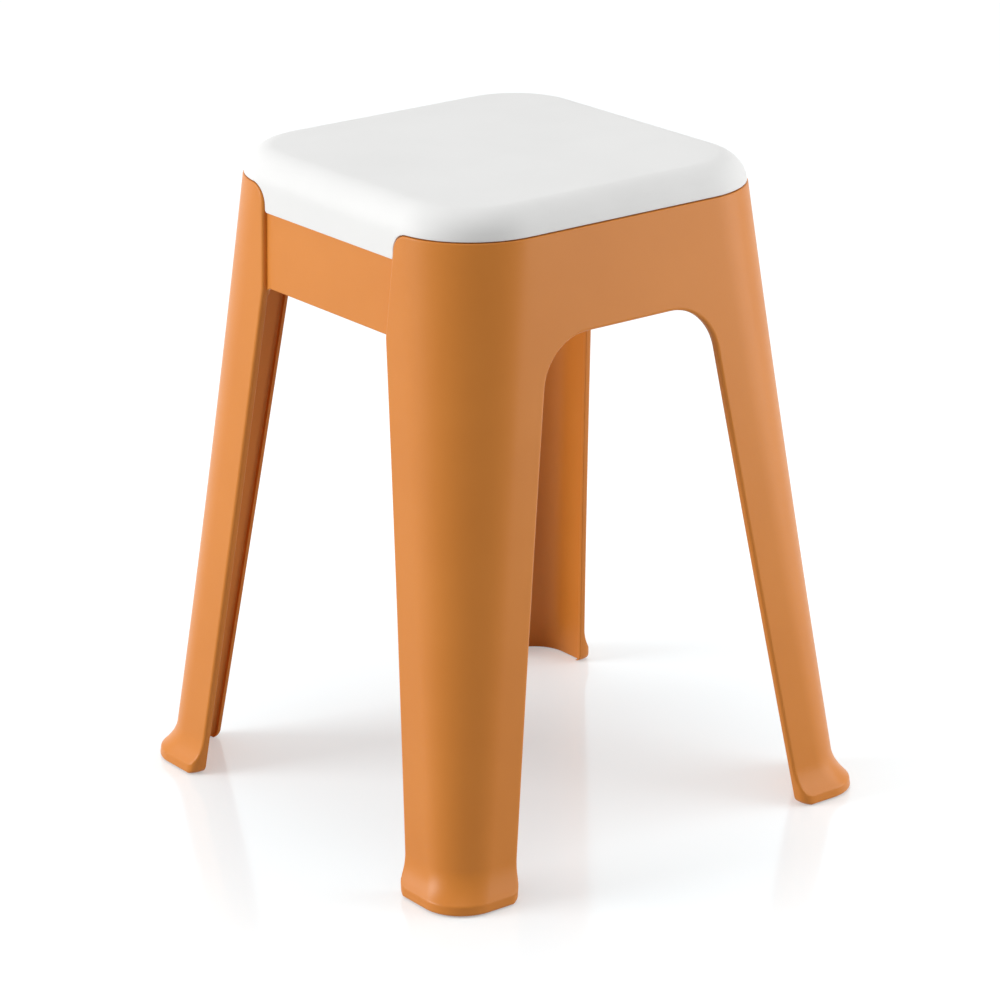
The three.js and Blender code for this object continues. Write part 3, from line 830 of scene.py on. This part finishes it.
# The round bosses that the screws go through, with a soft lower edge
def bossShape(tree, size):
    thick = addNode(tree, "GeometryNodeSplineParameter")
    for kind, *others in (
            ("POWER", size["Edge Power"]), ("MULTIPLY_ADD", -1, 1), ("POWER", size["Edge Root"]),
            ("MAXIMUM", size["End Share"]), ("MULTIPLY", size["Radius"])):
        thick = addNode(tree, "ShaderNodeMath", dict(enumerate((thick, *others))), operation=kind)
    post = turnedShape(tree, size["Drop"], thick, 24, 40)
    points = fourPoints(tree, size["Spread"], size["Top"])
    return addNode(tree, "GeometryNodeInstanceOnPoints", {"Points": points, "Instance": post})


def bossSet(name, low, top, material):
    sizes = {"Radius": 5.4, "Drop": low - top, "Top": top, "Spread": screws["Spread"],
             "Edge Power": 10.0, "Edge Root": 0.1, "End Share": 0.72}
    return treeObject(name, bossShape, sizes, material)


def screwShape(tree, size):
    factor = addNode(tree, "GeometryNodeSplineParameter")
    crown = factor
    for kind, *others in (
            ("POWER", size["Crown Power"]), ("MULTIPLY_ADD", -1, 1), ("POWER", size["Crown Root"]),
            ("MULTIPLY", size["Head Radius"])):
        crown = addNode(tree, "ShaderNodeMath", dict(enumerate((crown, *others))), operation=kind)
    head = turnedShape(tree, size["Head Drop"], crown, 22, 40)
    # the cross recess is cut by two bars that are narrower at their foot
    cut = addNode(tree, "GeometryNodeMergeByDistance", {"Geometry": head, "Distance": 0.01})
    outline = addNode(tree, "GeometryNodeCurvePrimitiveQuadrilateral", {
        "Height": size["Recess Reach"],
        "Bottom Width": size["Recess Width"], "Top Width": size["Recess Width"]}, mode="TRAPEZOID")
    below = addNode(tree, "ShaderNodeCombineXYZ", {"Z": size["Recess Below"]})
    depth = addNode(tree, "ShaderNodeCombineXYZ", {"Z": size["Recess Depth"]})
    line = addNode(tree, "GeometryNodeCurvePrimitiveLine", {"Start": below, "End": depth})
    narrowing = addNode(tree, "ShaderNodeMath", {
        0: factor, 1: size["Recess Narrowing"], 2: 1}, operation="MULTIPLY_ADD")
    bar = addNode(tree, "GeometryNodeCurveToMesh", {
        "Curve": line, "Profile Curve": outline, "Scale": narrowing, "Fill Caps": True})
    low = addNode(tree, "ShaderNodeCombineXYZ", {"Z": size["Head Drop"]})
    for turn in (0, halfPi):
        turned = addNode(tree, "GeometryNodeTransform", {
            "Geometry": bar, "Translation": low, "Rotation": (0, 0, turn)})
        cut = addNode(tree, "GeometryNodeMeshBoolean", {
            "Mesh 1": cut, "Mesh 2": turned}, operation="DIFFERENCE", solver="EXACT")
    # the shank ends in a blunt tip, and the thread winds round it
    thickness = addNode(tree, "ShaderNodeMapRange", {
        "Value": factor, "From Min": size["Taper From"],
        "To Min": size["Core Radius"], "To Max": size["Tip Radius"]})
    shank = turnedShape(tree, size["Shank Length"], thickness, 24, 24)
    thread = addNode(tree, "GeometryNodeCurveSpiral", {
        "Resolution": 24, "Rotations": size["Thread Turns"], "Start Radius": size["Core Radius"],
        "End Radius": size["Core Radius"], "Height": size["Thread Length"]})
    ridge = addNode(tree, "GeometryNodeCurvePrimitiveCircle", {
        "Resolution": 4, "Radius": size["Thread Rise"]})
    wound = addNode(tree, "GeometryNodeCurveToMesh", {
        "Curve": thread, "Profile Curve": ridge, "Fill Caps": True})
    start = addNode(tree, "ShaderNodeCombineXYZ", {"Z": size["Thread Start"]})
    raised = addNode(tree, "GeometryNodeTransform", {"Geometry": wound, "Translation": start})
    screw = addNode(tree, "GeometryNodeJoinGeometry", {"Geometry": [cut, shank, raised]})
    # no two screws are driven home at the same angle
    turn = addNode(tree, "FunctionNodeRandomValue", {
        2: 0, 3: halfPi, "Seed": size["Seed"]}, data_type="FLOAT")
    spin = addNode(tree, "ShaderNodeCombineXYZ", {"Z": turn.outputs[1]})
    points = fourPoints(tree, size["Spread"], size["Seat"])
    return addNode(tree, "GeometryNodeInstanceOnPoints", {
        "Points": points, "Instance": screw, "Rotation": spin})


# Anti-slip pads: a rounded strip let into the sole of each foot, along the foot's own plan
floorX, floorY, floorCorner = skinPlan(0)
padPlan = {"offset": 2.4, "endMargin": 6.0}
pads = {
    "Size X": 2 * (floorX + padPlan["offset"]),
    "Size Y": 2 * (floorY + padPlan["offset"]),
    "Corner": floorCorner + padPlan["offset"],
    "Front End": arch["floorHalf"] + padPlan["endMargin"],
    "Side End": wing["floorHalf"] + padPlan["endMargin"],
    "Width": 3.2,
    "Height": 3.0,
    "Middle": 1.5,
    "Edge": 0.9,
    "End Round": 1.6,
    "End Narrowing": -0.75,
}


def padShape(tree, size):
    plan = addNode(tree, "GeometryNodeCurvePrimitiveQuadrilateral", {
        "Width": size["Size X"], "Height": size["Size Y"]})
    rounded = addNode(tree, "GeometryNodeFilletCurve", {
        "Curve": plan, "Radius": size["Corner"], "Count": 24}, mode="POLY")
    fine = addNode(tree, "GeometryNodeResampleCurve", {"Curve": rounded, "Length": 0.5}, mode="LENGTH")
    edges = addNode(tree, "GeometryNodeCurveToMesh", {"Curve": fine})
    # what lies between the legs goes, and four paths are left
    place = addNode(tree, "GeometryNodeInputPosition")
    spot = addNode(tree, "ShaderNodeSeparateXYZ", {"Vector": place}).outputs
    between = []
    for axis, end in (("X", "Front End"), ("Y", "Side End")):
        aside = addNode(tree, "ShaderNodeMath", {0: spot[axis]}, operation="ABSOLUTE")
        between.append(addNode(tree, "ShaderNodeMath", {0: aside, 1: size[end]}, operation="LESS_THAN"))
    either = addNode(tree, "ShaderNodeMath", {0: between[0], 1: between[1]}, operation="MAXIMUM")
    feet = addNode(tree, "GeometryNodeDeleteGeometry", {
        "Geometry": edges, "Selection": either}, domain="POINT")
    paths = addNode(tree, "GeometryNodeMeshToCurve", {"Mesh": feet})
    even = addNode(tree, "GeometryNodeResampleCurve", {"Curve": paths, "Count": 90}, mode="COUNT")
    level = addNode(tree, "GeometryNodeSetCurveNormal", {"Curve": even}, mode="Z_UP")
    # the strip narrows over its last stretch
    along = addNode(tree, "GeometryNodeSplineParameter").outputs["Length"]
    total = addNode(tree, "GeometryNodeSplineLength")
    left = addNode(tree, "ShaderNodeMath", {0: total, 1: along}, operation="SUBTRACT")
    nearEnd = addNode(tree, "ShaderNodeMath", {0: along, 1: left}, operation="MINIMUM")
    taper = addNode(tree, "ShaderNodeMapRange", {
        "Value": nearEnd, "From Max": size["End Round"], "To Min": 1, "To Max": 0})
    for kind, *others in (("POWER", 2), ("MULTIPLY_ADD", size["End Narrowing"], 1), ("SQRT",)):
        taper = addNode(tree, "ShaderNodeMath", dict(enumerate((taper, *others))), operation=kind)
    strip = addNode(tree, "GeometryNodeCurvePrimitiveQuadrilateral", {
        "Width": size["Width"], "Height": size["Height"]})
    soft = addNode(tree, "GeometryNodeFilletCurve", {
        "Curve": strip, "Radius": size["Edge"], "Count": 5}, mode="POLY")
    swept = addNode(tree, "GeometryNodeCurveToMesh", {
        "Curve": level, "Profile Curve": soft, "Scale": taper, "Fill Caps": True})
    lift = addNode(tree, "ShaderNodeCombineXYZ", {"Z": size["Middle"]})
    return addNode(tree, "GeometryNodeTransform", {"Geometry": swept, "Translation": lift})


# The stiffening ribs that belong to each moulding
deckRibs = {
    "pitch": 42.0,
    "perSide": 2,
    "width": 2.0,
    "footShare": 0.8,
    "edge": 0.45,
    "low": deck["under"] - deck["ribDepth"],
    "top": deck["under"] + 0.8,
    "inside": cover["wall"] + deck["fitGap"] + deck["wall"],
    "bury": 1.2,
    "rollLess": cover["wall"],
}
coverRibs = {
    "pitch": 42.0,
    "perSide": 2,
    "width": 1.4,
    "footShare": 0.8,
    "edge": 0.3,
    "low": body["seatHeight"] - cover["wall"] - cover["ribDepth"],
    "top": body["seatHeight"] - cover["wall"] + 0.6,
    "inside": cover["wall"],
    "bury": 0.8,
    "rollLess": 0.0,
}


# Takes in the ribs and bosses that are moulded in one with the piece, and gives it its material
def finishPiece(piece, extras, material):
    build = bmesh.new()
    for part in [piece, *extras]:
        build.from_mesh(part.data)
    for face in build.faces:
        face.material_index = 0
    build.to_mesh(piece.data)
    build.free()
    for extra in extras:
        bpy.data.objects.remove(extra)
    piece.data.materials.clear()
    piece.data.materials.append(material)
    piece.modifiers.new("face_weighted_shading", "WEIGHTED_NORMAL")


stoolBody = mouldedPiece("stool_body", (buildFrame, buildSideApron, buildPlinth))
seatCap = mouldedPiece("seat_cap", (buildCover,))
print("body and cover made")

bosses = bossSet("deck_bosses", deck["under"] - 1.2, deck["under"] + 1.0, orangePlastic)
finishPiece(stoolBody, [*ribPair("deck_ribs", deckRibs, orangePlastic), bosses], orangePlastic)
bosses = bossSet("cover_bosses", coverRibs["low"], coverRibs["top"], whitePlastic)
finishPiece(seatCap, [*ribPair("cover_ribs", coverRibs, whitePlastic), bosses], whitePlastic)
print("ribs and bosses made")

coverScrews = treeObject("cover_screws", screwShape, screws, zincSteel)
footPads = treeObject("foot_pads", padShape, pads, padRubber)
print("screws and pads made")

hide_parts("base")
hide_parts("seat_cover")
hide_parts(*[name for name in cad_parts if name.startswith("cover_screw")])
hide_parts(*[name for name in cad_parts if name.startswith("foot_pad")])
for piece, finish in ((stoolBody, "base_plastic"), (seatCap, "cover_plastic"),
                      (coverScrews, "screw_steel"), (footPads, "pad_rubber")):
    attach(piece, "root")


# Studio: a white floor that runs out of sight, with painted shade under the stool, and a white room
floorLook = {
    "size": 12.0,
    "seen": "#D3DBDE",  # as the camera sees it, a little cool against the orange light that the stool bounces onto it
    "bounced": "#C3C3C2",  # as the stool is lit by it
    "roughness": 0.12,
    "specular": 0.45,
    "paintedShadeLiftMiddle": 0.32,  # glow added for the camera: weaker under the stool, a painted shade there, and stronger far from it, painted light that washes out the shadows there
    "liftFar": 0.43,
    "liftFrom": 0.1,
    "liftTo": 0.45,
}


# 1 for what the camera sees, straight or in a gloss, and 0 for the light that falls on the stool
def cameraSide(tree):
    path = addNode(tree, "ShaderNodeLightPath").outputs
    seen = addNode(tree, "ShaderNodeMath", {
        0: path["Is Camera Ray"], 1: path["Is Glossy Ray"]}, operation="MAXIMUM")
    return addNode(tree, "ShaderNodeMath", {0: seen, 1: path["Is Transmission Ray"]}, operation="MAXIMUM")


def makeFloor():
    half = floorLook["size"] / 2
    mesh = bpy.data.meshes.new("studio_floor")
    mesh.from_pydata([(x * half, y * half, 0) for x, y in quarters], [], [(0, 1, 2, 3)])
    material, tree = newMaterial("white_studio_paper")
    seen = cameraSide(tree)
    colour = addNode(tree, "ShaderNodeMix", {
        0: seen, 6: hexColour(floorLook["bounced"]), 7: hexColour(floorLook["seen"])}, data_type="RGBA")
    place = addNode(tree, "ShaderNodeTexCoord").outputs["Object"]
    away = addNode(tree, "ShaderNodeVectorMath", {0: place}, operation="LENGTH")
    # the glow grows from the middle outwards: painted shade under and between the legs, painted light far out
    lift = addNode(tree, "ShaderNodeMapRange", {
        "Value": away.outputs["Value"], "From Min": floorLook["liftFrom"], "From Max": floorLook["liftTo"],
        "To Min": floorLook["paintedShadeLiftMiddle"], "To Max": floorLook["liftFar"]}, interpolation_type="SMOOTHSTEP")
    lift = addNode(tree, "ShaderNodeMath", {0: seen, 1: lift}, operation="MULTIPLY")
    paper = addNode(tree, "ShaderNodeBsdfPrincipled", {
        "Base Color": colour.outputs[2], "Roughness": floorLook["roughness"],
        "Specular IOR Level": floorLook["specular"]})
    glow = addNode(tree, "ShaderNodeEmission", {"Strength": lift})
    both = addNode(tree, "ShaderNodeAddShader", {0: paper, 1: glow})
    addNode(tree, "ShaderNodeOutputMaterial", {"Surface": both})
    mesh.materials.append(material)
    floor = newObject("studio_floor", mesh)


# The room is dimmer on the photographer's side, between the two soft boxes
roomLook = {"ambient": 0.57, "dimmed": 0.24, "dimAzimuth": -28.0, "dimFrom": 0.2, "dimTo": 0.95, "seen": 1.0}


def makeRoom():
    world = bpy.data.worlds.new("white_room")
    bpy.context.scene.world = world
    world.use_nodes = True
    tree = world.node_tree
    tree.nodes.clear()
    direction = addNode(tree, "ShaderNodeTexCoord").outputs["Generated"]
    turn = math.radians(roomLook["dimAzimuth"])
    facing = addNode(tree, "ShaderNodeVectorMath", {
        0: direction, 1: (math.sin(turn), -math.cos(turn), 0)}, operation="DOT_PRODUCT")
    ambient = addNode(tree, "ShaderNodeMapRange", {
        "Value": facing.outputs["Value"], "From Min": roomLook["dimFrom"], "From Max": roomLook["dimTo"],
        "To Min": roomLook["ambient"], "To Max": roomLook["dimmed"]}, interpolation_type="SMOOTHSTEP")
    strength = addNode(tree, "ShaderNodeMapRange", {
        "Value": cameraSide(tree), "To Min": ambient, "To Max": roomLook["seen"]})
    background = addNode(tree, "ShaderNodeBackground", {"Color": (1, 1, 1, 1), "Strength": strength})
    addNode(tree, "ShaderNodeOutputWorld", {"Surface": background})


# Big soft boxes left and right of the camera, and one overhead. Azimuth 0 is in front of the stool
lamps = {
    "key_softbox": {"azimuth": -118, "height": 1.15, "distance": 2.8, "size": (1.5, 1.2), "power": 56},
    "fill_softbox": {"azimuth": 48, "height": 0.5, "distance": 1.4, "size": (1.2, 1.0), "power": 10},
    "top_softbox": {"azimuth": 0, "height": 2.3, "distance": 0.01, "size": (1.5, 1.5), "power": 10.5},
}
lampTarget = (0, 0, 0.25)


def makeLamps():
    for name, look in lamps.items():
        lamp = bpy.data.lights.new(name, "AREA")
        lamp.shape = "RECTANGLE"
        lamp.size, lamp.size_y = look["size"]
        lamp.energy = look["power"]
        obj = newObject(name, lamp)
        turn = math.radians(look["azimuth"])
        obj.location = (math.sin(turn) * look["distance"], -math.cos(turn) * look["distance"], look["height"])
        obj.rotation_euler = (Vector(lampTarget) - obj.location).to_track_quat("-Z", "Y").to_euler()


# The camera, matched to the photograph; lengths in millimetres
view = {
    "azimuth": -36.74732,
    "elevation": 19.47804,
    "distance": 2762.2592,
    "focalPixels": 4038.7307,
    "frame": 1000,
    "sensor": 36.0,
    "sideways": 1.4506,
    "height": 199.5942,
    "lift": 0.2089,
    "roll": -0.698908,
}


def makeCamera():
    camera = bpy.data.cameras.new("photo_view")
    camera.sensor_width = view["sensor"]
    camera.lens = view["focalPixels"] * view["sensor"] / view["frame"]
    obj = newObject("photo_view", camera)
    azimuth, elevation, roll = (math.radians(view[key]) for key in ("azimuth", "elevation", "roll"))
    level = math.cos(elevation)
    back = Vector((math.sin(azimuth) * level, -math.cos(azimuth) * level, math.sin(elevation)))
    right = Vector((math.cos(azimuth), math.sin(azimuth), 0))
    up = back.cross(right)
    place = Vector((0, 0, view["height"])) + right * view["sideways"]
    place += back * view["distance"] + up * view["lift"]
    rolledRight = right * math.cos(roll) + up * math.sin(roll)
    rolledUp = up * math.cos(roll) - right * math.sin(roll)
    turn = Matrix((rolledRight, rolledUp, back)).transposed()
    obj.matrix_world = Matrix.Translation(place * mm) @ turn.to_4x4()
    bpy.context.scene.camera = obj


makeFloor()
makeRoom()
makeLamps()
makeCamera()
bpy.context.scene.view_settings.view_transform = "Standard"
print("studio and camera set")
